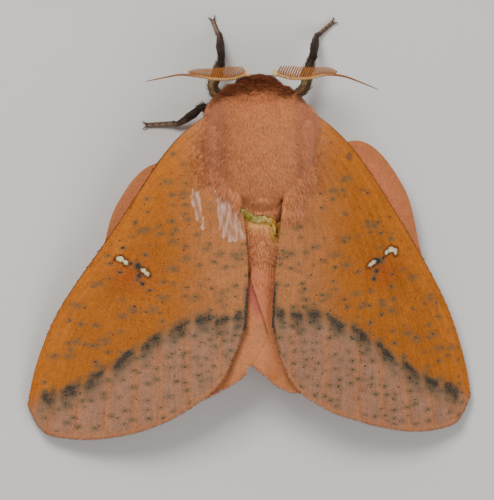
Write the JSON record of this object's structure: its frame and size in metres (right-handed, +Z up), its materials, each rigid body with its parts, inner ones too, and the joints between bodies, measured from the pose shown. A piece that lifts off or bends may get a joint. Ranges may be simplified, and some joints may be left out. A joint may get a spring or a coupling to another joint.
{
  "type": "honey locust moth model",
  "caption": "Life-size still model of a male honey locust moth at rest on its feet, wings folded roof-like over the back and comb-like feelers spread.",
  "frame": {"origin": "on the floor under the middle of the model's box", "axes": "+Z up from the floor through the back, -Y towards the head, +X towards the moth's own left side"},
  "size_m": [0.0356, 0.0338, 0.0085],
  "materials": {
    "body_fur": "plush salmon-orange fur of fine scales",
    "head_fur": "brown-red hairy tuft",
    "eye": "dark, faceted and glossy",
    "antenna": "orange-brown comb on a pale shaft",
    "forewing": "yellow-orange scales with dark specks, a dark line and white spots",
    "hindwing": "salmon-pink scales",
    "leg": "brown scales with pale grey feet"
  },
  "bodies": {
    "root": {"thorax": "body_fur", "abdomen": "body_fur", "head": "head_fur", "eye_left": "eye", "eye_right": "eye", "antenna_left": "antenna", "antenna_right": "antenna", "forewing_left": "forewing", "forewing_right": "forewing", "hindwing_left": "hindwing", "hindwing_right": "hindwing", "foreleg_left": "leg", "foreleg_right": "leg", "midleg_left": "leg", "midleg_right": "leg", "hindleg_left": "leg", "hindleg_right": "leg"}
  },
  "joints": []
}
